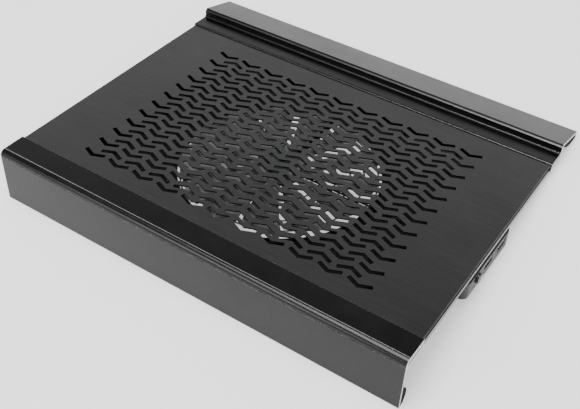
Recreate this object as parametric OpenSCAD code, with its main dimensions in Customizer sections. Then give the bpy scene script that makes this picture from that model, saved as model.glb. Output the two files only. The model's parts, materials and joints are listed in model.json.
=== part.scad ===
// Laptop cooling pad: a slotted aluminium deck gripped between a rear leg
// extrusion and a front lip extrusion, with one large fan in a pan under it.
// X runs across the pad (+X is the user's right), Y to the rear, Z up.
// Every piece is drawn in the deck frame, where h = 0 is the deck's top face,
// and stand() then tilts the deck and sets the feet on z = 0.

/* [Deck] */
// Width of the deck sheet
deck_w = 380; // [360:1:400]
// Thickness of the deck sheet
sheet_t = 1.2; // [1:0.1:1.3]
// Depth of sheet held inside each extrusion
grip = 6; // [3:0.5:6]

/* [Air slots] */
// Slots in each of the rows that point to the rear
slot_cols = 11; // [3:1:13]
// Rows of slots that point to the rear
slot_rows = 12; // [2:1:12]
// Distance between slots along a row
slot_pitch_x = 25.6; // [23:0.1:26]
// Distance between rows that point the same way
slot_pitch_y = 17; // [15:0.1:17.5]
// Width of one chevron slot over its two arms
slot_span = 20.4; // [14:0.1:21]
// Drop of a slot's centre line from its point to its ends
slot_drop = 4.4; // [2:0.1:5]
// Width of the cut
slot_w = 3.6; // [1.5:0.1:4]

/* [Extrusions] */
// Length of the two extrusions over their ends
rail_l = 382; // [382:1:404]
// Height of the rear leg below the deck's top face
leg_drop = 48.8; // [45:0.1:49]
// Thickness of the extruded walls
wall = 1.8; // [1.5:0.1:2]
// Radius of the rear leg's outer corner
corner_r = 5; // [4:0.1:5]
// Height of the front lip's back edge above the deck
lip_h = 9.2; // [8:0.1:10]
// Depth of the lip along its slope
lip_l = 39.7; // [36:0.1:40]
// Slope of the lip's top face, in degrees
lip_slope = 13; // [11:0.1:14]

/* [Fan] */
// Radius swept by the blades
blade_r = 84; // [70:0.5:84.5]
// Number of blades
blades = 13; // [7:1:15]
// Angle between a blade and the plane it turns in, in degrees
blade_pitch = 14; // [10:1:18]
// Share of the circle that the blades cover, seen from above
blade_cover = 0.84; // [0.4:0.01:0.85]
// Radius of the fan's centre cup
cup_r = 20; // [19.5:0.5:24]
// Diameter of the fan's shaft
shaft_d = 3; // [2:0.1:3.2]

/* [Feet] */
// Length of each rubber foot along the extrusion
foot_l = 60; // [20:1:120]

/* [Control box] */
// Length of the box along the pad's side
hub_l = 81; // [80:1:90]
// Depth of the box under the deck
hub_d = 42; // [40:1:50]
// Diameter of the speed knob
knob_d = 8.6; // [7:0.1:9.4]
// Length of the knob outside the box
knob_l = 2; // [1.5:0.1:3]

/* [Hidden] */

eps = 0.01;
round_fn = 64;
curve_steps = 10;

// Where the deck goes into the front and the rear extrusion
front_y = -120.5;
rear_y = 112.5;
skin_h = 0.95;
box_drop = 7.2;

// Points of the front and rear soles, as [y, h] in the deck frame
front_sole = [-174.5, -5.9];
rear_sole = [134.5, -48.9];
tilt = atan2(front_sole[1] - rear_sole[1], rear_sole[0] - front_sole[0]);
lift = -(rear_sole[0] * sin(tilt) + rear_sole[1] * cos(tilt));
// Shift that puts the pad's middle over the origin
leg_back = 138.2;
lip_back = -141.7;
lip_front = lip_back - lip_l * cos(lip_slope);
mid_y = (leg_back * cos(tilt) + leg_drop * sin(tilt) + lip_front * cos(tilt)) / 2;

// Front extrusion
wall_y = -139.5;
wall_in_y = wall_y - 2;
bevel_h = 7;
groove_w = 0.7;
groove_deep = 0.4;

// Side rails
rail_in_x = deck_w / 2 - 7;
rail_drop = 8.2;

// Bottom pan
pan_t = 1.5;
pan_x = rail_in_x;
pan_floor = 17;
pan_rim = 8.2;
pan_flat_x = 122;
pan_slope_x = 148;
pan_front = [-86, -100];
pan_rear = [98, 104];
pan_open_r = 88;

// Fan, centred a little behind the middle of the slots
fan_y = 6;
ring_r = 86.5;
ring_out_r = 90;
ring_wall = 1.5;
frame_low = pan_floor - pan_t;
frame_t = 1.7;
ring_top = 11.5;
strut_w = 6;
struts = 4;
blade_low = 13;
blade_high = 5;
blade_t = 1.3;
cup_wall = 1.5;
cup_top = 4.4;
cup_low = 12.6;
bearing_r = 3;
bearing_low = 13.3;
bearing_high = 8.3;
boss_r = 4.2;
run_gap = 0.03;
base_top = 14.3;
board_t = 1;
magnet_t = 2;
stator_r = 15.6;
ear_at = 94.5;

// Control box on the user's left
hub_x = -191.7;
hub_y = 2.5;
hub_top = 8.4;
hub_low = 23.5;
hub_split = 13.3;
hub_round = 6;
hub_t = 1.6;
usb_y = [-19.6, 3.7];
usb_w = 14.5;
usb_h = 7;
usb_l = 14;
knob_y = 24;
hub_board = [33, 72, 1.4];
board_top = hub_split + usb_h / 2;

// Screws
m2 = 1;
m3 = 1.5;

function mix(a, b, t) = (1 - t) * a + t * b;
function bend(a, c, b, t) = mix(mix(a, c, t), mix(c, b, t), t);
function curve(a, c, b) = [for (i = [0 : curve_steps]) bend(a, c, b, i / curve_steps)];

// Moves a piece from the deck frame to the standing pad
module stand() translate([0, -mid_y, lift]) rotate([tilt, 0, 0]) children();
// Draws a [y, h] section along X
module along_x(length) rotate([90, 0, 90]) linear_extrude(length, center = true) children();
// Draws an [x, h] section along Y, between two y values
module along_y(from, to) translate([0, to, 0]) rotate([90, 0, 0]) linear_extrude(to - from) children();
module rod(r, low, high) translate([0, 0, low]) cylinder(h = high - low, r = r, $fn = round_fn);
module tube(r_out, r_in, low, high) difference() {
    rod(r_out, low, high);
    rod(r_in, low - 1, high + 1);
}
// Sets children at the pad's left (-1) or right (+1) end
module end(side) translate([side * rail_l / 2, 0, 0]) children();

// ---------- deck ----------
module chevron() {
    half = slot_span / 2;
    slope = atan2(slot_drop, half);
    tall = slot_w / cos(slope) / 2;
    end_x = sin(slope) * slot_w / 2;
    end_y = cos(slope) * slot_w / 2;
    polygon([
        [0, tall], [-half - end_x, -slot_drop + end_y], [-half + end_x, -slot_drop - end_y],
        [0, -tall], [half - end_x, -slot_drop - end_y], [half + end_x, -slot_drop + end_y]
    ]);
}

// One field of slots, drawn about its own centre
module slot_field(cols, rows) {
    for (i = [0 : cols - 1], j = [0 : rows - 1])
        translate([(i - (cols - 1) / 2) * slot_pitch_x, (j - (rows - 1) / 2) * slot_pitch_y])
            children();
}

module deck_panel() {
    color("dimgray") stand() translate([0, 0, -sheet_t]) linear_extrude(sheet_t) difference() {
        translate([-deck_w / 2, front_y - grip]) square([deck_w, rear_y - front_y + 2 * grip]);
        slot_field(slot_cols, slot_rows) translate([0, slot_drop / 2]) chevron();
        slot_field(slot_cols - 1, slot_rows - 1) rotate(180) translate([0, slot_drop / 2]) chevron();
    }
}

// ---------- extrusions ----------
module rear_chamber() {
    polygon([
        [rear_y + grip + 1.5, -skin_h], [leg_back - corner_r, -skin_h],
        [leg_back - wall, -skin_h - corner_r + wall], [leg_back - wall, -box_drop + wall],
        [rear_y + wall, -box_drop + wall], [rear_y + wall, -sheet_t - wall],
        [rear_y + grip + 1.5, -sheet_t - wall]
    ]);
}

module rear_section() {
    corner_at = [leg_back - corner_r, skin_h - corner_r];
    difference() {
        polygon([
            [rear_y, 0], [rear_y, skin_h - 0.4], [rear_y + 0.4, skin_h], [leg_back, skin_h],
            [leg_back, -leg_drop], [leg_back - wall, -leg_drop], [leg_back - wall, -box_drop - 2],
            [leg_back - wall - 2, -box_drop], [rear_y, -box_drop]
        ]);
        difference() {
            translate(corner_at) square(corner_r + 1);
            translate(corner_at) circle(r = corner_r, $fn = round_fn);
        }
        translate([rear_y - 1, -sheet_t]) square([grip + 1, sheet_t]);
        rear_chamber();
        translate([leg_back - groove_deep, corner_at[1] - 0.8]) square([1, groove_w]);
    }
}

// Screws that clamp the deck in the extrusions, as x places along each
clamp_x = [-150, -50, 50, 150];
front_clamp_y = front_y - 3.5;
rear_clamp_y = rear_y + 3.5;
module at_clamps(y) for (x = clamp_x) translate([x, y, 0]) children();

module rear_leg_rail() {
    color("dimgray") stand() difference() {
        along_x(rail_l) rear_section();
        at_clamps(rear_clamp_y) rod(m2, -box_drop - 1, -sheet_t);
    }
}

// The lip's own frame: x runs down the slope from its back edge, y through its thickness
module on_lip() translate([lip_back, lip_h]) rotate(180 + lip_slope) children();

module front_chamber() {
    polygon([
        [front_y - grip - 1.5, -skin_h + 0.3], [wall_y + 0.5, -skin_h + 0.3],
        [wall_y + 0.5, -2.6], [front_y - wall, -box_drop + wall + 0.3],
        [front_y - wall, -sheet_t - wall], [front_y - grip - 1.5, -sheet_t - wall]
    ]);
}

module front_section() {
    difference() {
        union() {
            polygon([
                [front_y, -box_drop], [front_y, skin_h - 0.4], [front_y - 0.4, skin_h],
                [wall_y + 2, skin_h], [wall_y + 0.6, skin_h + 0.6], [wall_y, skin_h + 2],
                [wall_y, bevel_h], [lip_back, lip_h], [wall_in_y - 1.5, lip_h - 0.4],
                [wall_in_y - 1.5, bevel_h], [wall_in_y, bevel_h - 1.5], [wall_in_y, -4.2]
            ]);
            on_lip() square([lip_l - wall / 2, wall]);
            on_lip() translate([lip_l - wall / 2, wall / 2]) circle(r = wall / 2, $fn = round_fn);
        }
        translate([front_y - grip, -sheet_t]) square([grip + 1, sheet_t]);
        front_chamber();
        translate([front_y - 2.4, skin_h - groove_deep]) square([groove_w, 1]);
    }
}

module front_lip_rail() {
    color("gray") stand() difference() {
        along_x(rail_l) front_section();
        at_clamps(front_clamp_y) rod(m2, -box_drop - 1, -sheet_t);
    }
}

// Plugs that close the ends of the extrusions' chambers
plug_l = 8;
plug_inset = 0.2;
module plug(side) stand() end(side) translate([-side * (plug_l / 2 + plug_inset), 0, 0])
    along_x(plug_l) children();
module rear_plug_left() color("silver") plug(-1) rear_chamber();
module rear_plug_right() color("silver") plug(1) rear_chamber();
module front_plug_left() color("silver") plug(-1) front_chamber();
module front_plug_right() color("silver") plug(1) front_chamber();

// Trim under each side edge of the deck, with a bead along its lower edge
module side_rail(side) stand() mirror([side < 0 ? 1 : 0, 0, 0]) along_y(front_y, rear_y) {
    edge = deck_w / 2;
    polygon([
        [rail_in_x, -sheet_t], [edge - 0.9, -sheet_t], [edge - 0.9, -4.8], [edge + 0.5, -6.2],
        [edge + 0.5, -7.4], [edge - 0.3, -rail_drop], [rail_in_x, -rail_drop]
    ]);
}
module side_rail_left() color("black") side_rail(-1);
module side_rail_right() color("black") side_rail(1);

// ---------- feet ----------
// Cuts a piece flat where it stands on z = 0
module on_floor() intersection() {
    children();
    translate([-rail_l, -300, 0]) cube([2 * rail_l, 600, 100]);
}
module foot(side) on_floor() stand() end(side) translate([-side * foot_l / 2, 0, 0])
    along_x(foot_l) children();
module rear_foot_section() {
    back = leg_back - wall;
    polygon(concat(curve([back, -29.5], [122.5, -36], [133.4, -50.4]), [[back, -50.4]]));
}
module front_foot_section() on_lip()
    polygon(concat(curve([2.5, wall], [14, 11.5], [35.5, 7.6]), curve([35.5, 7.6], [40.4, 6.8], [39, wall])));
module foot_rear_left() color("black") foot(-1) rear_foot_section();
module foot_rear_right() color("black") foot(1) rear_foot_section();
module foot_front_left() color("black") foot(-1) front_foot_section();
module foot_front_right() color("black") foot(1) front_foot_section();

// ---------- bottom pan ----------
// Solid form of the pan: level rims all round and a deeper floor in the middle
module pan_form(inset, top) {
    low = inset - pan_floor;
    rim = inset - pan_rim;
    intersection() {
        along_y(front_y + inset, rear_y - inset) polygon([
            [-pan_x + inset, top], [-pan_x + inset, rim], [-pan_slope_x + inset, rim],
            [-pan_flat_x + inset, low], [pan_flat_x - inset, low], [pan_slope_x - inset, rim],
            [pan_x - inset, rim], [pan_x - inset, top]
        ]);
        along_x(2 * pan_x) polygon([
            [front_y, top], [front_y, rim], [pan_front[1] + inset, rim], [pan_front[0] + inset, low],
            [pan_rear[0] - inset, low], [pan_rear[1] - inset, rim], [rear_y, rim], [rear_y, top]
        ]);
    }
}

stud_r = 2.6;
stud_places = [[-165, -108], [165, -108], [-165, 104], [165, 104], [0, -110], [0, 108]];
module at_studs() for (p = stud_places) translate(concat(p, 0)) children();
module on_fan() translate([0, fan_y, 0]) children();
// The fan's four corner screws, and the guard's view of them inside on_fan()
module at_guard_ears() for (i = [0 : 3]) rotate(45 + 90 * i) translate([ear_at, 0, 0]) children();
module at_ears() on_fan() at_guard_ears() children();

lead_w = 1.6;
lead_t = 1;
lead_hole = [-160, fan_y - strut_w / 2 - 1.5];
module bottom_pan() {
    color("black") stand() difference() {
        pan_form(0, -sheet_t);
        pan_form(pan_t, 1);
        on_fan() rod(pan_open_r, -pan_floor - 1, 0);
        at_ears() rod(m2, -pan_floor - 1, 0);
        at_studs() rod(m3, -pan_rim - 1, 0);
        translate(concat(lead_hole, 0)) rod(2, -pan_rim - 1, 0);
    }
}

module deck_studs() {
    color("silver") stand() at_studs() difference() {
        rod(stud_r, -pan_rim + pan_t, -sheet_t);
        rod(m2, -pan_rim, -sheet_t - 1);
    }
}

// One screw, its head's inner face at h = 0 and its shank going up
module screw(r, length, head_r, head_h) {
    difference() {
        rod(head_r, -head_h, 0);
        translate([0, 0, -head_h - eps]) linear_extrude(head_h / 2) {
            square([head_r * 1.2, head_r * 0.3], center = true);
            square([head_r * 0.3, head_r * 1.2], center = true);
        }
    }
    rod(r, 0, length);
}
module pan_screws() {
    color("silver") stand() at_studs() translate([0, 0, -pan_rim])
        screw(m2, pan_rim - sheet_t - 1.2, 2.6, 1.4);
}
module rail_screws() {
    color("silver") stand() {
        at_clamps(front_clamp_y) translate([0, 0, -box_drop + 0.5])
            screw(m2, box_drop - 0.5 - sheet_t, 2.2, 1.4);
        at_clamps(rear_clamp_y) translate([0, 0, -box_drop]) screw(m2, box_drop - sheet_t, 2.2, 1.4);
    }
}

// ---------- fan ----------
module fan_frame() {
    color("black") stand() on_fan() difference() {
        union() {
            tube(ring_out_r, ring_r, -frame_low, -frame_low + frame_t);
            tube(ring_r + ring_wall, ring_r, -frame_low, -ring_top);
            rod(cup_r - 1, -frame_low, -base_top);
            rod(boss_r, -frame_low, -bearing_high);
            for (i = [0 : 3]) rotate(45 + 90 * i) translate([ring_r + 0.7, -4, -frame_low + 0.1])
                cube([ear_at + 3.3 - ring_r, 8, frame_t + 0.1]);
            for (i = [0 : struts - 1]) rotate(i * 360 / struts)
                translate([boss_r - 1, -strut_w / 2, -frame_low])
                    cube([ring_r + 1.7 - boss_r, strut_w, frame_t - 0.3]);
        }
        rod(bearing_r, -base_top, 0);
        for (i = [0 : 3]) rotate(45 + 90 * i) translate([ear_at, 0, 0]) rod(m2, -frame_low - 1, 0);
        translate([-ring_out_r - 1, -strut_w / 2 - 2.7, -frame_low - 1]) cube([6, 2.2, 2 * frame_t]);
    }
}

// Stamped steel guard: flat rings joined by four ribs that end in screw tabs
guard_t = 1;
guard_rings = [12, 24, 36, 48, 60, 72, 84];
guard_ring_w = 1.6;
guard_rib_w = 4;
module fan_guard() {
    color("silver") stand() on_fan() difference() {
        union() {
            for (r = guard_rings)
                tube(r + guard_ring_w / 2, r - guard_ring_w / 2,
                     -pan_floor - guard_t + 0.1, -pan_floor - 0.1);
            for (i = [0 : 3]) rotate(45 + 90 * i)
                translate([guard_rings[0], -guard_rib_w / 2, -pan_floor - guard_t])
                    cube([ear_at + 4 - guard_rings[0], guard_rib_w, guard_t]);
            for (i = [0 : 3]) rotate(45 + 90 * i)
                translate([ear_at, 0, 0]) rod(guard_rib_w, -pan_floor - guard_t, -pan_floor);
        }
        at_guard_ears() rod(m2, -pan_floor - guard_t - 1, 0);
    }
}

module fan_screws() {
    color("silver") stand() at_ears() translate([0, 0, -pan_floor - guard_t])
        screw(m2, guard_t + pan_t + frame_t + 1, 2.2, 1.2);
}

module fan_bearing() {
    color("goldenrod") stand() on_fan() tube(bearing_r, shaft_d / 2 + run_gap, -bearing_low, -bearing_high);
}

pole_w = 3.4;
pole_low = 12;
pole_high = 9.4;
module fan_stator() {
    color("gray") stand() on_fan() {
        tube(6.2, boss_r, -pole_low, -pole_high);
        for (i = [0 : 3]) rotate(45 + 90 * i) {
            translate([6, -pole_w / 2, -pole_low]) cube([8, pole_w, pole_low - pole_high]);
            intersection() {
                tube(stator_r, stator_r - 2, -pole_low, -pole_high);
                translate([5, -9, -pole_low]) cube([14, 18, 6]);
            }
        }
    }
}

module fan_coils() {
    turn = 1.1;
    color("orangered") stand() on_fan() for (i = [0 : 3]) rotate(45 + 90 * i) difference() {
        translate([7.4, -pole_w / 2 - turn, -pole_low - turn + 0.3])
            cube([5, pole_w + 2 * turn, pole_low - pole_high + 2 * turn - 0.6]);
        translate([7, -pole_w / 2, -pole_low]) cube([6, pole_w, pole_low - pole_high]);
    }
}

module fan_circuit_board() {
    color("darkgreen") stand() on_fan() tube(cup_r - 3, boss_r, -base_top, -base_top + board_t);
}

// Flat fan lead, beside a strut, over the pan's floor and down into the control box
lead_y = lead_hole[1];
lead_path = [[-16.6, -13.75], [-118, -13.75], [-146, -5.5], [-160, -5.5], [-160, -board_top]];
function left_of(v) = [-v[1], v[0]] / norm(v);
function mitre(a, b, c, w) = let (u = left_of(b - a), v = left_of(c - b)) b + (u + v) * w / (1 + u * v);
function edge_of(path, w) = [
    path[0] + left_of(path[1] - path[0]) * w,
    for (i = [1 : len(path) - 2]) mitre(path[i - 1], path[i], path[i + 1], w),
    path[len(path) - 1] + left_of(path[len(path) - 1] - path[len(path) - 2]) * w
];
function reversed(list) = [for (i = [len(list) - 1 : -1 : 0]) list[i]];
module fan_lead() {
    color("black") stand() along_y(lead_y - lead_w / 2, lead_y + lead_w / 2)
        polygon(concat(edge_of(lead_path, lead_t / 2), reversed(edge_of(lead_path, -lead_t / 2))));
}

// Wedge of the circle, as wide as one blade
module blade_sector(half_angle) {
    along = 1.2 * blade_r * cos(half_angle);
    across = 1.2 * blade_r * sin(half_angle);
    translate([0, 0, -blade_low - 1]) linear_extrude(blade_low)
        polygon([[0, 0], [along, -across], [along, across]]);
}
module fan_impeller() {
    color("dimgray") stand() on_fan() {
        difference() {
            rod(cup_r, -cup_low, -cup_top);
            rod(cup_r - cup_wall, -cup_low - 1, -cup_top - cup_wall);
        }
        tube(3, shaft_d / 2, -cup_top - 3.4, -cup_top - cup_wall);
        intersection() {
            tube(blade_r, cup_r - 0.6, -blade_low, -blade_high);
            for (i = [0 : blades - 1]) rotate(i * 360 / blades) intersection() {
                blade_sector(180 * blade_cover / blades);
                translate([0, 0, -(blade_low + blade_high) / 2]) rotate([-blade_pitch, 0, 0])
                    translate([cup_r - 3, -blade_r / 2, -blade_t / 2]) cube([blade_r, blade_r, blade_t]);
            }
        }
    }
}

module magnet_ring() {
    color("darkslategray") stand() on_fan()
        tube(cup_r - cup_wall, cup_r - cup_wall - magnet_t, -cup_low, -cup_top - cup_wall - 0.5);
}
module fan_shaft() {
    color("silver") stand() on_fan() rod(shaft_d / 2, -base_top + 0.3, -cup_top - cup_wall);
}
module shaft_clip() {
    color("silver") stand() on_fan() tube(2.6, shaft_d / 2, -base_top + 0.4, -bearing_low - 0.2);
}
module hub_label() {
    color("darkcyan") stand() on_fan() rod(15, -cup_top, -cup_top + 0.15);
}

// ---------- control box ----------
module hub_outline(inset) {
    r = hub_round - inset;
    for (sx = [-1, 1], sy = [-1, 1])
        translate([sx * (hub_d / 2 - hub_round), sy * (hub_l / 2 - hub_round)]) circle(r = r, $fn = round_fn);
    square([hub_d - 2 * hub_round, hub_l - 2 * inset], center = true);
    square([hub_d - 2 * inset, hub_l - 2 * hub_round], center = true);
}
module on_hub() translate([hub_x + hub_d / 2, hub_y, 0]) children();
module hub_block(inset, low, high) on_hub() translate([0, 0, low]) linear_extrude(high - low)
    hub_outline(inset);

hub_screw_places = [[-1, -1], [-1, 1], [1, -1], [1, 1]];
module at_hub_screws() on_hub() for (p = hub_screw_places)
    translate([p[0] * (hub_d / 2 - 5), p[1] * (hub_l / 2 - 5), 0]) children();
module usb_mouth(y) translate([hub_x - 1, y - usb_w / 2, -hub_split - usb_h / 2])
    cube([usb_l + 2, usb_w, usb_h]);
module knob_axis() translate([hub_x, knob_y, -hub_split]) rotate([0, 90, 0]) children();
knob_hole_r = 2.4;

module hub_cavity(low, high) difference() {
    hub_block(hub_t, low, high);
    at_hub_screws() rod(3.2, low - 1, high + 1);
}
module hub_openings() {
    for (y = usb_y) usb_mouth(y);
    knob_axis() rod(knob_hole_r, -1, hub_t + 1);
}

module hub_upper_shell() {
    color("gray") stand() difference() {
        hub_block(0, -hub_split, -hub_top);
        hub_cavity(-hub_split - 1, -hub_top - hub_t);
        hub_openings();
        at_hub_screws() rod(m2, -hub_split - 1, -hub_top - hub_t);
        translate(concat(lead_hole, 0)) rod(2, -hub_split, 0);
    }
}
module hub_lower_shell() {
    color("gray") stand() difference() {
        hub_block(0, -hub_low, -hub_split);
        hub_cavity(-hub_low + hub_t, -hub_split + 1);
        hub_openings();
        at_hub_screws() rod(m2 + 0.2, -hub_low - 1, 0);
        at_hub_screws() rod(2.3, -hub_low - 1, -hub_low + 1.6);
    }
}
module hub_circuit_board() {
    color("darkgreen") stand() difference() {
        translate([hub_x + hub_t + 1.5, hub_y - hub_board[1] / 2, -board_top - hub_board[2]]) cube(hub_board);
        at_hub_screws() rod(3.6, -hub_low, 0);
    }
}

// USB socket with its mouth at the box's face, a metal shell round a plastic tongue
module usb_socket(y) {
    shell_t = 0.6;
    color("silver") stand() translate([hub_x + 0.4, y - usb_w / 2, -hub_split - usb_h / 2]) difference() {
        cube([usb_l, usb_w, usb_h]);
        translate([-1, shell_t, shell_t]) cube([usb_l - 1, usb_w - 2 * shell_t, usb_h - 3 * shell_t - 2]);
        translate([-1, shell_t, usb_h - 2 * shell_t]) cube([usb_l - 1, usb_w - 2 * shell_t, shell_t]);
    }
}
module usb_socket_front() usb_socket(usb_y[0]);
module usb_socket_rear() usb_socket(usb_y[1]);

pot_w = 10;
pot_d = 8;
module speed_potentiometer() {
    color("darkgreen") stand() difference() {
        translate([hub_x + hub_t + 1.2, knob_y - pot_w / 2, -board_top])
            cube([pot_d, pot_w, board_top - hub_top - hub_t]);
        knob_axis() rod(shaft_d / 2 + run_gap, hub_t, hub_t + 6);
    }
}
module knob_shaft() {
    color("silver") stand() knob_axis() rod(shaft_d / 2, -knob_l + 0.6, hub_t + 5.5);
}
module speed_knob() {
    ribs = 18;
    color("black") stand() knob_axis() difference() {
        rod(knob_d / 2, -knob_l - 0.3, -0.3);
        rod(shaft_d / 2, -knob_l + 0.6, 0);
        for (i = [0 : ribs - 1]) rotate(i * 360 / ribs) translate([knob_d / 2, 0, 0])
            rod(0.3, -knob_l - 1, -0.9);
        translate([-knob_d / 2, -0.3, -knob_l - 0.6]) cube([knob_d / 2 - 1, 0.6, 0.6]);
    }
}
module hub_screws() {
    color("silver") stand() at_hub_screws() translate([0, 0, -hub_low + 1.6]) screw(m2, 10, 2.1, 1.2);
}

deck_panel();
rear_leg_rail();
front_lip_rail();
side_rail_left();
side_rail_right();
rear_plug_left();
rear_plug_right();
front_plug_left();
front_plug_right();
foot_rear_left();
foot_rear_right();
foot_front_left();
foot_front_right();
bottom_pan();
deck_studs();
pan_screws();
rail_screws();
fan_frame();
fan_guard();
fan_screws();
fan_bearing();
fan_stator();
fan_coils();
fan_circuit_board();
fan_lead();
fan_impeller();
magnet_ring();
fan_shaft();
shaft_clip();
hub_label();
hub_upper_shell();
hub_lower_shell();
hub_circuit_board();
usb_socket_front();
usb_socket_rear();
speed_potentiometer();
hub_screws();
speed_knob();
knob_shaft();
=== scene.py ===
import bpy
import bmesh
import math
from mathutils import Matrix, Vector
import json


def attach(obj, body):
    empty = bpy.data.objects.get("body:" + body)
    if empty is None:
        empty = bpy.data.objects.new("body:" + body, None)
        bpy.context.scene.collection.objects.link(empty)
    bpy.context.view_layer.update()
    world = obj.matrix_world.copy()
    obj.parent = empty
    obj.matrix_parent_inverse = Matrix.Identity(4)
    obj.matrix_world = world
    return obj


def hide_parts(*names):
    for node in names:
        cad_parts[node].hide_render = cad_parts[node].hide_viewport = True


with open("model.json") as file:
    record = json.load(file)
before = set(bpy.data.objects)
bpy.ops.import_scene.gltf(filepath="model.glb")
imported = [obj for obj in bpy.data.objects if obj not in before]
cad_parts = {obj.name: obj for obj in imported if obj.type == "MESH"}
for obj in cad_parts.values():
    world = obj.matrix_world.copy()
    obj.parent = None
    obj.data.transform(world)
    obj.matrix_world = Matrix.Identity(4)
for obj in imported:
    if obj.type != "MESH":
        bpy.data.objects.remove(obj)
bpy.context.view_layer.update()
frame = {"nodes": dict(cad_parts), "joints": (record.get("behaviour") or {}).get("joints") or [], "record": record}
nodes = frame["nodes"]

MM = 0.001

# ---------------------------------------------------------------- deck frame
# The deck's own frame: y to the rear and h up from its top face, in millimetres.
spin = next(j for j in frame["joints"] if j["name"] == "fan_spin")
deck_up = Vector(spin["axis"]).normalized()
deck_back = deck_up.cross(Vector((1, 0, 0))).normalized()
FAN_Y, FAN_H = 6.0, -10.0
deck_origin = Vector(spin["pos_m"]) - (deck_back * FAN_Y + deck_up * FAN_H) * MM
DECK = Matrix.Translation(deck_origin) @ Matrix((
    (1, 0, 0), (0, deck_back.y, deck_up.y), (0, deck_back.z, deck_up.z))).to_4x4() @ Matrix.Scale(MM, 4)
DECK_INVERSE = DECK.inverted()


# ---------------------------------------------------------------- materials
class Shader:
    """A Principled material and short ways to add nodes to it."""

    def __init__(self, name, color, rough, metallic=0.0, **sockets):
        self.mat = bpy.data.materials.new(name)
        self.mat.use_nodes = True
        self.tree = self.mat.node_tree
        self.bsdf = next(n for n in self.tree.nodes if n.type == "BSDF_PRINCIPLED")
        self.color = color
        self.rough = rough
        self.set("Base Color", (*color, 1))
        self.set("Roughness", rough)
        self.set("Metallic", metallic)
        for key, value in sockets.items():
            self.set(key.replace("_", " "), value)
        self.coords = self.node("ShaderNodeTexCoord").outputs["Object"]
        self.height = None

    def set(self, socket, value):
        self.bsdf.inputs[socket].default_value = value

    def node(self, kind, **values):
        n = self.tree.nodes.new(kind)
        for key, value in values.items():
            if hasattr(n, key):
                setattr(n, key, value)
        return n

    def link(self, a, b):
        self.tree.links.new(a, b)

    def scaled(self, scale):
        m = self.node("ShaderNodeMapping")
        m.inputs["Scale"].default_value = scale
        self.link(self.coords, m.inputs["Vector"])
        return m.outputs["Vector"]

    def noise(self, scale, detail=3.0, rough=0.55, stretch=(1, 1, 1)):
        n = self.node("ShaderNodeTexNoise")
        n.inputs["Scale"].default_value = scale
        n.inputs["Detail"].default_value = detail
        n.inputs["Roughness"].default_value = rough
        self.link(self.scaled(stretch), n.inputs["Vector"])
        return n.outputs["Fac"]

    def ramp(self, value, low, high, out_low=0.0, out_high=1.0):
        r = self.node("ShaderNodeMapRange")
        for key, v in (("From Min", low), ("From Max", high), ("To Min", out_low), ("To Max", out_high)):
            r.inputs[key].default_value = v
        self.link(value, r.inputs["Value"])
        return r.outputs["Result"]

    def math(self, op, a, b):
        m = self.node("ShaderNodeMath", operation=op)
        for i, v in enumerate((a, b)):
            if isinstance(v, (int, float)):
                m.inputs[i].default_value = v
            else:
                self.link(v, m.inputs[i])
        return m.outputs["Value"]

    def tint(self, mask, color):
        """Mixes the base colour towards color where mask is 1."""
        mix = self.node("ShaderNodeMix", data_type="RGBA")
        a, b = [next(i for i in mix.inputs if i.name == side and i.type == "RGBA") for side in "AB"]
        a.default_value = (*self.color, 1)
        if self.bsdf.inputs["Base Color"].is_linked:
            self.link(self.bsdf.inputs["Base Color"].links[0].from_socket, a)
        b.default_value = (*color, 1)
        self.link(mask, mix.inputs["Factor"])
        self.link([s for s in mix.outputs if s.type == "RGBA"][0], self.bsdf.inputs["Base Color"])

    def roughen(self, value, amount):
        """Varies roughness by amount about its middle where value runs 0 to 1."""
        low = max(0.03, self.rough - amount)
        self.link(self.ramp(value, 0.25, 0.75, low, self.rough + amount), self.bsdf.inputs["Roughness"])

    def bump(self, value, depth_mm, strength=1.0):
        b = self.node("ShaderNodeBump")
        b.inputs["Strength"].default_value = strength
        b.inputs["Distance"].default_value = depth_mm * MM
        self.link(value, b.inputs["Height"])
        if self.bsdf.inputs["Normal"].is_linked:
            self.link(self.bsdf.inputs["Normal"].links[0].from_socket, b.inputs["Normal"])
        self.link(b.outputs["Normal"], self.bsdf.inputs["Normal"])

    def edge_mask(self, radius_mm, low=0.002, high=0.05):
        """1 along edges, broken up by noise, 0 on open faces."""
        bevel = self.node("ShaderNodeBevel", samples=4)
        bevel.inputs["Radius"].default_value = radius_mm * MM
        geo = self.node("ShaderNodeNewGeometry")
        dot = self.node("ShaderNodeVectorMath", operation="DOT_PRODUCT")
        self.link(bevel.outputs["Normal"], dot.inputs[0])
        self.link(geo.outputs["Normal"], dot.inputs[1])
        edge = self.ramp(self.math("SUBTRACT", 1.0, dot.outputs["Value"]), low, high)
        return self.math("MULTIPLY", edge, self.ramp(self.noise(260, 4), 0.3, 0.62, 0.15, 1.0))


def brushed(name, color, rough, streak, worn, metallic=0.75, wear=0.5, anisotropy=0.5):
    """Metal brushed along X, with edges worn to a lighter tone."""
    s = Shader(name, color, rough, metallic, Anisotropic=anisotropy, IOR=1.6)
    tangent = s.node("ShaderNodeCombineXYZ")
    tangent.inputs["X"].default_value = 1.0
    s.link(tangent.outputs["Vector"], s.bsdf.inputs["Tangent"])
    broad = s.noise(1.0, 4, 0.65, (14, 1500, 1500))
    fine = s.noise(1.0, 5, 0.7, (40, 5200, 5200))
    s.tint(s.ramp(broad, 0.35, 0.72), tuple(min(1, c * (1 + streak)) for c in color))
    s.tint(s.ramp(s.noise(14, 3), 0.45, 0.75, 0.0, 0.35), tuple(c * 0.72 for c in color))
    s.roughen(fine, 0.09)
    s.bump(broad, 0.006, 0.4)
    s.bump(fine, 0.006, 0.8)
    s.tint(s.math("MULTIPLY", s.edge_mask(0.35), wear), worn)
    return s.mat


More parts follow.
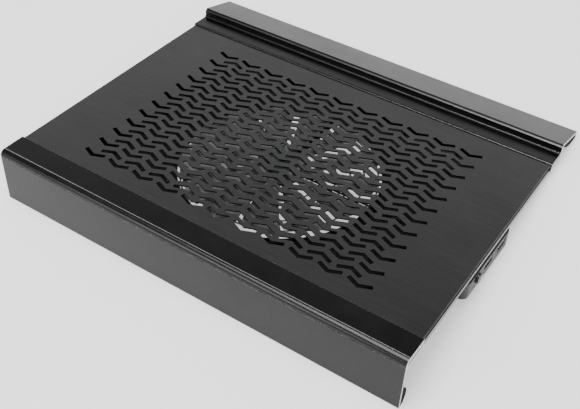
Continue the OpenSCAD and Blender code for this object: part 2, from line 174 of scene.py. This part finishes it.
def satin(name, color, rough, worn, metallic=0.6, grain=1500, wear=0.5):
    """Fine blasted and anodised metal."""
    s = Shader(name, color, rough, metallic, IOR=1.6)
    s.tint(s.ramp(s.noise(grain, 3), 0.35, 0.7), tuple(c * 1.25 for c in color))
    s.tint(s.ramp(s.noise(9, 4), 0.45, 0.75, 0.0, 0.3), tuple(c * 0.8 for c in color))
    s.roughen(s.noise(40, 4), 0.05)
    s.bump(s.noise(grain * 1.4, 2), 0.01, 0.35)
    s.tint(s.math("MULTIPLY", s.edge_mask(0.3), wear), worn)
    return s.mat


def moulded(name, color, rough, grain=1400, depth=0.03, worn=None, **sockets):
    """Moulded plastic or rubber with a fine texture."""
    s = Shader(name, color, rough, 0.0, **sockets)
    s.tint(s.ramp(s.noise(25, 4), 0.4, 0.75, 0.0, 0.5), tuple(c * 0.7 for c in color))
    s.tint(s.ramp(s.noise(grain, 2), 0.5, 0.75, 0.0, 0.4), tuple(min(1, c * 1.5 + 0.01) for c in color))
    s.roughen(s.noise(60, 4), 0.08)
    s.bump(s.noise(grain, 2), depth, 0.5)
    if worn:
        s.tint(s.math("MULTIPLY", s.edge_mask(0.3), 0.6), worn)
    return s.mat


def plated(name, color, rough, grain=900):
    """Bare or plated metal with fine scratches and stains."""
    s = Shader(name, color, rough, 1.0)
    s.tint(s.ramp(s.noise(120, 5), 0.45, 0.8, 0.0, 0.6), tuple(c * 0.6 for c in color))
    s.roughen(s.noise(grain, 4), 0.08)
    s.bump(s.noise(grain, 3, 0.7, (1, 4, 1)), 0.008, 0.6)
    return s.mat


def wound(name, color):
    """Copper wire wound in fine turns."""
    s = Shader(name, color, 0.3, 1.0)
    wave = s.node("ShaderNodeTexWave", bands_direction="Z")
    wave.inputs["Scale"].default_value = 900
    wave.inputs["Distortion"].default_value = 1.5
    s.link(s.coords, wave.inputs["Vector"])
    s.tint(s.ramp(wave.outputs["Fac"], 0.2, 0.8), tuple(c * 0.45 for c in color))
    s.bump(wave.outputs["Fac"], 0.08, 0.7)
    s.roughen(s.noise(300, 3), 0.06)
    return s.mat


def board(name, color):
    """Solder-masked circuit board with faint tracks and bare pads."""
    s = Shader(name, color, 0.35)
    tracks = s.node("ShaderNodeTexBrick")
    tracks.inputs["Scale"].default_value = 260
    tracks.inputs["Mortar Size"].default_value = 0.08
    s.link(s.coords, tracks.inputs["Vector"])
    s.tint(s.ramp(tracks.outputs["Fac"], 0.2, 0.8), tuple(c * 2.2 for c in color))
    s.tint(s.ramp(s.noise(500, 1), 0.66, 0.7), (0.55, 0.5, 0.35))
    s.roughen(s.noise(200, 3), 0.1)
    s.bump(tracks.outputs["Fac"], 0.03, 0.4)
    return s.mat


BRIGHT = (0.55, 0.55, 0.56)
slot_look = {
    "deck_metal": brushed(
        "deck_brushed_black", (0.085, 0.085, 0.087), 0.3, 0.3, (0.4, 0.4, 0.41), metallic=1.0),
    "rear_rail_metal": satin("rail_satin_black", (0.033, 0.033, 0.034), 0.26, BRIGHT, metallic=1.0),
    "lip_rail_metal": satin("lip_satin_grey", (0.094, 0.094, 0.096), 0.34, BRIGHT, metallic=1.0),
    # Bright trim metal; on the side rails it shows only on the bead's up-facing faces, as a painted highlight.
    "side_trim": satin("trim_satin", (0.42, 0.42, 0.425), 0.3, (0.8, 0.8, 0.8), metallic=1.0, wear=0.9),
    "end_plug": satin("end_cap_metal", (0.25, 0.25, 0.26), 0.4, BRIGHT, metallic=0.8),
    "foot_rubber": moulded("foot_rubber", (0.008, 0.008, 0.008), 0.85, 900, 0.05, Specular_IOR_Level=0.12),
    "pan_plastic": moulded(
        "pan_grain_black", (0.009, 0.009, 0.009), 0.6, 1100, 0.06, Specular_IOR_Level=0.2),
    "stud_metal": plated("turned_stud", (0.62, 0.62, 0.64), 0.3),
    "screw_steel": plated("zinc_screw", (0.42, 0.42, 0.44), 0.32),
    "fan_plastic": moulded("fan_frame_black", (0.007, 0.007, 0.007), 0.55, Specular_IOR_Level=0.2),
    "guard_wire": plated("guard_steel", (0.5, 0.5, 0.52), 0.3),
    "bearing_bronze": plated("sintered_bronze", (0.5, 0.34, 0.15), 0.45, 2200),
    "stator_steel": plated("core_steel", (0.3, 0.3, 0.32), 0.4),
    "coil_copper": wound("coil_wire", (0.62, 0.24, 0.09)),
    "circuit_board": board("solder_mask", (0.02, 0.12, 0.05)),
    "lead_insulation": moulded("lead_insulation", (0.02, 0.02, 0.02), 0.4, 2000, 0.01),
    "impeller_plastic": moulded("impeller_grey", (0.12, 0.12, 0.122), 0.36, 700, 0.02),
    "magnet": moulded("ferrite", (0.03, 0.03, 0.032), 0.6, 2500, 0.03),
    "shaft_steel": plated("ground_steel", (0.6, 0.6, 0.62), 0.18),
    "clip_plastic": moulded("clip_natural", (0.75, 0.75, 0.7), 0.5, 1500, 0.01),
    "label_film": moulded("label_film", (0.045, 0.06, 0.06), 0.3, 300, 0.004),
    "box_plastic": moulded(
        "box_satin_grey", (0.035, 0.035, 0.036), 0.5, 1600, 0.03, worn=(0.3, 0.3, 0.31),
        Specular_IOR_Level=0.3),
    "socket_steel": plated("socket_steel", (0.16, 0.16, 0.165), 0.35),
    "pot_plastic": moulded("pot_blue", (0.03, 0.07, 0.16), 0.4),
    "knob_plastic": moulded("knob_black", (0.012, 0.012, 0.012), 0.35, 1200, 0.02),
}
slot_of = {s["node"]: s["material_slot"] for s in frame["record"]["subparts"]}


# ---------------------------------------------------------------- pieces
body_of = {n: b for b, members in frame["record"]["behaviour"]["bodies"].items() for n in members}


def finish_piece(obj, *names):
    """Sets a new piece up in place of CAD nodes: the material of its slot, and its body.

    The mesh has no materials yet: clearing them would lose each face's material number."""
    node = names[0]
    obj.data.materials.append(slot_look[slot_of[node]])
    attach(obj, body_of[node])
    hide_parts(*names)
    return obj


def softened(node, width_mm, angle=28, cuts=(), pick=None, extra=()):
    """A copy of a CAD node with its sharp edges rounded.

    cuts are (faces to cut, point, direction) in the deck's frame; pick gives a face's material,
    0 for the node's own and 1 up for those in extra."""
    bm = welded(node)
    for chosen, at, along in cuts:
        faces = [f for f in bm.faces if chosen(*face_facts(f))]
        geom = list(dict.fromkeys(part for f in faces for part in (f, *f.edges, *f.verts)))
        bmesh.ops.bisect_plane(bm, geom=geom, plane_co=DECK @ Vector(at),
                               plane_no=(DECK.to_3x3() @ Vector(along)).normalized())
    if pick:
        for f in bm.faces:
            f.material_index = pick(*face_facts(f))
    obj = new_object(node + "_skin", bm)
    mod = obj.modifiers.new("edges", "BEVEL")
    mod.width = width_mm * MM
    mod.segments = 2
    mod.limit_method = "ANGLE"
    mod.angle_limit = math.radians(angle)
    normals = obj.modifiers.new("normals", "WEIGHTED_NORMAL")
    normals.weight = 100
    finish_piece(obj, node)
    for mat in extra:
        obj.data.materials.append(mat)
    return obj


def face_facts(f):
    """A face's middle and normal in the deck's frame."""
    c = deck_point(f.calc_center_median())
    n = (DECK_INVERSE.to_3x3() @ f.normal).normalized()
    return c, n


def deck_point(co):
    """A point of the model, in the deck's own frame."""
    return DECK_INVERSE @ co


def welded(node):
    """A CAD node's mesh as a bmesh of whole flat faces."""
    bm = bmesh.new()
    bm.from_mesh(nodes[node].data)
    bmesh.ops.remove_doubles(bm, verts=bm.verts, dist=2e-6)
    bmesh.ops.dissolve_limit(bm, angle_limit=math.radians(0.6), verts=bm.verts, edges=bm.edges)
    bmesh.ops.recalc_face_normals(bm, faces=bm.faces)
    return bm


def new_object(name, bm, smooth=True):
    mesh = bpy.data.meshes.new(name)
    bm.to_mesh(mesh)
    bm.free()
    obj = bpy.data.objects.new(name, mesh)
    bpy.context.scene.collection.objects.link(obj)
    for p in mesh.polygons:
        p.use_smooth = smooth
    return obj


def chamfer(bm, pick, width_mm, segments=1):
    """Bevels the sharp edges that pick(edge) chooses."""
    edges = [e for e in bm.edges if len(e.link_faces) == 2 and e.calc_face_angle(0) > 0.5 and pick(e)]
    bmesh.ops.bevel(bm, geom=edges, offset=width_mm * MM, segments=segments, affect="EDGES", profile=0.5)


def deck_skin():
    """The deck sheet: brushed top, bright chamfers down its sides, and its slot walls, side faces and underside
    painted black as shade.
    """
    bm = welded("deck_panel")
    edge_x = max(abs(v.co.x) for v in bm.verts)

    def on_top(e):
        return all(deck_point(v.co).z > -0.05 for v in e.verts)

    def at_side(e):
        return all(abs(v.co.x) > edge_x - 1e-4 for v in e.verts)

    chamfer(bm, lambda e: on_top(e) and at_side(e), 0.4)
    chamfer(bm, lambda e: on_top(e) and not at_side(e) and all(abs(v.co.x) < 0.16 for v in e.verts), 0.1)
    # Every face that is neither the top nor a side chamfer gets the black painted shade.
    for f in bm.faces:
        side = abs(f.calc_center_median().x) > edge_x - 0.0005
        rise = f.normal.dot(deck_up)
        f.material_index = 0 if rise > 0.99 else (2 if side and rise > 0.3 else 1)
    obj = finish_piece(new_object("deck_skin", bm, smooth=False), "deck_panel")
    obj.data.materials.append(painted_shade_walls)
    obj.data.materials.append(line_grey)
    return obj


def impeller_skin():
    """Cup and twisted blades, cambered and thinned to their tips."""
    low, high = -12.7, -5.1
    cup_r, blade_r, count = 20.0, 84.0, 13
    centre = Vector((0, FAN_Y, 0))
    bm = bmesh.new()

    def ring(r, h, n=72):
        turns = [2 * math.pi * i / n for i in range(n)]
        return [bm.verts.new(centre + Vector((r * math.cos(a), r * math.sin(a), h))) for a in turns]

    profile = [(18.5, -12.6), (19.9, -12.6), (20.0, -12.4)]
    quarter = [math.radians(d) for d in range(0, 91, 15)]
    profile += [(18.4 + 1.6 * math.cos(a), -6.0 + 1.6 * math.sin(a)) for a in quarter]
    profile += [(16.2, -4.4), (15.6, -4.48), (0.4, -4.48)]
    inner = [(0.4, -5.9), (17.6, -5.9), (18.3, -6.4), (18.5, -7.2)]
    rings = [ring(r, h) for r, h in profile + inner]
    for a, b in zip(rings, rings[1:] + rings[:1]):
        for i in range(len(a)):
            j = (i + 1) % len(a)
            bm.faces.new((a[i], a[j], b[j], b[i]))
    across, along = 10, 12
    for k in range(count):
        turn = 2 * math.pi * k / count
        top, bottom = [], []
        for i in range(along + 1):
            t = i / along
            r = (cup_r - 0.4) + (blade_r - cup_r + 0.4) * t
            span = math.radians(23.6 - 0.6 * t)
            sweep = math.radians(3) * t * t
            thick = 1.3 - 0.6 * t
            row_t, row_b = [], []
            for j in range(across + 1):
                u = j / across - 0.5
                angle = turn + sweep + span * u
                rr = r - (1.6 * (2 * u) ** 4 if i == along else 0.0)
                rise = min(1.0, 0.45 + 0.75 * t) * (high - low - thick)
                middle = (low + high) / 2 - rise * u + 0.9 * (0.25 - u * u)
                half = thick / 2 * max(0.18, 1 - (2 * abs(u)) ** 3 * 0.85)
                for row, h in ((row_t, middle + half), (row_b, middle - half)):
                    at = Vector((rr * math.cos(angle), rr * math.sin(angle), h))
                    row.append(bm.verts.new(centre + at))
            top.append(row_t)
            bottom.append(row_b)
        for i in range(along):
            for j in range(across):
                bm.faces.new((top[i][j], top[i + 1][j], top[i + 1][j + 1], top[i][j + 1]))
                bm.faces.new((bottom[i][j], bottom[i][j + 1], bottom[i + 1][j + 1], bottom[i + 1][j]))
            for j in (0, across):
                bm.faces.new((top[i][j], bottom[i][j], bottom[i + 1][j], top[i + 1][j]))
        for j in range(across):
            for i in (0, along):
                bm.faces.new((top[i][j], top[i][j + 1], bottom[i][j + 1], bottom[i][j]))
    bmesh.ops.recalc_face_normals(bm, faces=bm.faces)
    bmesh.ops.transform(bm, matrix=DECK, verts=bm.verts)
    obj = finish_piece(new_object("impeller_skin", bm), "fan_impeller")
    normals = obj.modifiers.new("normals", "WEIGHTED_NORMAL")
    normals.weight = 60
    return obj


# Near-black, low-sheen material: painted shade on the deck's slot walls, side faces and underside.
painted_shade_walls = moulded("walls_painted_shade_black", (0.006, 0.006, 0.006), 0.6, 2000, 0.01, Specular_IOR_Level=0.1)
# Bright bare metal for the rails' cut ends, also used for painted highlight lines along the rear strip's edges.
cut_end_and_painted_highlight = plated("cut_end_and_painted_highlight_metal", (0.62, 0.62, 0.63), 0.28)
# Near-black metal: painted shade on the rails' steps, grooves and side rails, and a painted dark reflection on the
# front rail's wall.
painted_shade_black = satin("rail_painted_shade_black", (0.012, 0.012, 0.013), 0.45, (0.03, 0.03, 0.03), metallic=1.0)
# Darker satin on the trough floor: painted shade below the front lip's wall.
trough_painted_shade = satin("trough_painted_shade_satin", (0.06, 0.06, 0.062), 0.24, BRIGHT, metallic=1.0)
line_grey = satin("rail_line_grey", (0.085, 0.085, 0.088), 0.3, BRIGHT, metallic=1.0)

# Places in the deck's frame: the rails' cut ends, the deck's edges, the front rail's wall, the rails'
# top face, where the rear round begins, the middle of the side beads and the foot of the
# black line painted as shade on the front lip's bevel
END_X = 190.8
FRONT_Y = -120.5
REAR_Y = 112.5
WALL_Y = -139.5
SKIN_H = 0.95
ROUND_Y = 133.2
BEAD_H = -5.5
LINE_H = 8.0
# The black line along the trough's rear edge is painted shade.
FRONT_LINE = 1.3  # width of the black line along the trough's rear edge
# The bright line at the start of the rear round is a painted highlight.
REAR_LINE = 0.6   # width of the bright line where the rear round begins

# Numbers of the materials on the front rail; the first three are the rear rail's too
OWN, CUT_END_AND_PAINTED_HIGHLIGHT, PAINTED_SHADE, TROUGH_PAINTED_SHADE, GREY_LINE = range(5)


def front_rail_face(c, n):
    """Grey lip and bright cut ends. The wall is painted black as a dark reflection. The top of its bevel, a line
    along the trough's rear edge and the step under the flange are painted black as shade, with grey lines of the
    rail's own metal between them. The trough is painted darker as shade.
    """
    if abs(c.x) > END_X and abs(n.x) > 0.9:
        return CUT_END_AND_PAINTED_HIGHLIGHT
    if c.z < -0.5 or c.y < WALL_Y - 2.3:
        return OWN
    if c.y < WALL_Y - 0.05:
        return PAINTED_SHADE if c.z > LINE_H else GREY_LINE
    if c.z > SKIN_H + 0.05:
        return GREY_LINE if n.z > n.y else PAINTED_SHADE
    if n.z > 0.95:
        return PAINTED_SHADE if c.y > FRONT_Y - FRONT_LINE - 0.1 else TROUGH_PAINTED_SHADE
    return GREY_LINE if n.z > 0.5 else PAINTED_SHADE


def rear_rail_face(c, n):
    """Bright lines painted as highlights along both edges of the strip, its front step painted black as shade, and
    bright cut ends.
    """
    if abs(c.x) > END_X and abs(n.x) > 0.9:
        return CUT_END_AND_PAINTED_HIGHLIGHT
    if n.z > 0.5 and c.y < ROUND_Y:
        return CUT_END_AND_PAINTED_HIGHLIGHT if n.z < 0.95 or c.y > ROUND_Y - REAR_LINE else OWN
    return PAINTED_SHADE if c.y < REAR_Y + 0.1 and c.z > -0.1 else OWN


def side_rail_face(c, n):
    """Up-facing faces of the bead's lower half in the trim's bright metal as a painted highlight, every other face
    painted black as shade.
    """
    return 0 if n.z > 0.3 and c.z < BEAD_H and abs(c.x) > 189 else 1


softened("front_lip_rail", 0.12, cuts=[
    (lambda c, n: n.z > 0.5 and WALL_Y - 2.2 < c.y < WALL_Y, (0, 0, LINE_H), (0, 0, 1)),
    (lambda c, n: n.z > 0.95 and WALL_Y < c.y < FRONT_Y, (0, FRONT_Y - FRONT_LINE, 0), (0, 1, 0)),
], pick=front_rail_face, extra=(cut_end_and_painted_highlight, painted_shade_black, trough_painted_shade, line_grey))
softened("rear_leg_rail", 0.12, cuts=[
    (lambda c, n: n.z > 0.95 and REAR_Y < c.y < ROUND_Y, (0, ROUND_Y - REAR_LINE, 0), (0, 1, 0)),
], pick=rear_rail_face, extra=(cut_end_and_painted_highlight, painted_shade_black))
# Side rails: the bead's up-facing lower faces get the bright trim metal as a painted highlight, all other faces
# the black painted shade.
for node in ("side_rail_left", "side_rail_right"):
    softened(node, 0.12, cuts=[
        (lambda c, n: n.z > 0.3 and c.z < -3, (0, 0, BEAD_H), (0, 0, 1)),
    ], pick=side_rail_face, extra=(painted_shade_black,))

soft_edges = {
    "foot_rear_left": 0.5, "foot_rear_right": 0.5, "foot_front_left": 0.5, "foot_front_right": 0.5,
    "bottom_pan": 0.35, "fan_frame": 0.3, "fan_guard": 0.2, "hub_upper_shell": 0.4, "hub_lower_shell": 0.6,
    "speed_knob": 0.2, "usb_socket_front": 0.1, "usb_socket_rear": 0.1,
}
for node, width in soft_edges.items():
    softened(node, width)
deck_skin()
impeller_skin()
skinned = set(soft_edges) | {"front_lip_rail", "rear_leg_rail", "side_rail_left", "side_rail_right"}
for node, obj in nodes.items():
    if node not in skinned:
        obj.data.materials.clear()
        obj.data.materials.append(slot_look[slot_of[node]])


# ---------------------------------------------------------------- studio
def area(name, place, target, size, power, size_y=None, color=(1, 1, 1)):
    data = bpy.data.lights.new(name, "AREA")
    data.shape = "RECTANGLE"
    data.size, data.size_y = size, size_y or size
    data.energy = power
    data.color = color
    obj = bpy.data.objects.new(name, data)
    obj.location = place
    obj.rotation_mode = "QUATERNION"
    obj.rotation_quaternion = (Vector(target) - Vector(place)).to_track_quat("-Z", "Y")
    bpy.context.scene.collection.objects.link(obj)
    return obj


def floor_sheet():
    mesh = bpy.data.meshes.new("studio_floor")
    r = 6.0
    mesh.from_pydata([(-r, -r, 0), (r, -r, 0), (r, r, 0), (-r, r, 0)], [], [(0, 1, 2, 3)])
    obj = bpy.data.objects.new("studio_floor", mesh)
    bpy.context.scene.collection.objects.link(obj)
    s = Shader("paper_floor", (0.86, 0.86, 0.86), 0.7,
               Emission_Color=(1, 1, 1, 1), Emission_Strength=0.68)
    s.tint(s.ramp(s.noise(3, 3), 0.4, 0.8, 0.0, 0.15), (0.82, 0.82, 0.82))
    s.bump(s.noise(400, 3), 0.02, 0.2)
    mesh.materials.append(s.mat)


def sky():
    """Soft studio surround: bright near the horizon, darker overhead."""
    world = bpy.data.worlds.new("studio")
    bpy.context.scene.world = world
    world.use_nodes = True
    t = world.node_tree
    back = next(n for n in t.nodes if n.type == "BACKGROUND")
    coord = t.nodes.new("ShaderNodeTexCoord")
    split = t.nodes.new("ShaderNodeSeparateXYZ")
    t.links.new(coord.outputs["Generated"], split.inputs["Vector"])
    ramp = t.nodes.new("ShaderNodeValToRGB")
    t.links.new(split.outputs["Z"], ramp.inputs["Fac"])
    stops = ((0.0, 1.0), (0.36, 1.0), (0.55, 0.6), (0.68, 0.22), (0.86, 0.25), (0.97, 1.6))
    while len(ramp.color_ramp.elements) < len(stops):
        ramp.color_ramp.elements.new(0.5)
    for e, (at, v) in zip(ramp.color_ramp.elements, stops):
        e.position = at
        e.color = (v, v, v, 1)
    t.links.new(ramp.outputs["Color"], back.inputs["Color"])
    back.inputs["Strength"].default_value = 1.0


floor_sheet()
sky()
area("overhead", (0.1, 0.1, 1.9), (0, 0.0, 0.0), 1.3, 42)
area("side", (0.75, 1.5, 1.0), (0, 0.1, 0.0), 0.8, 10)

cam_data = bpy.data.cameras.new("camera")
cam = bpy.data.objects.new("camera", cam_data)
bpy.context.scene.collection.objects.link(cam)
cam_data.sensor_width = 36
cam_data.lens = 56.58
cam_data.clip_end = 50
right = Vector((-0.8309941, -0.5548311, -0.0401410))
up = Vector((0.3898634, -0.6323473, 0.6694352))
back = Vector((-0.3968065, 0.5406472, 0.7417852))
turned = Matrix((right, up, back)).transposed().to_4x4()
cam.matrix_world = Matrix.Translation((-0.32489, 0.45662, 0.57004)) @ turned
bpy.context.scene.camera = cam
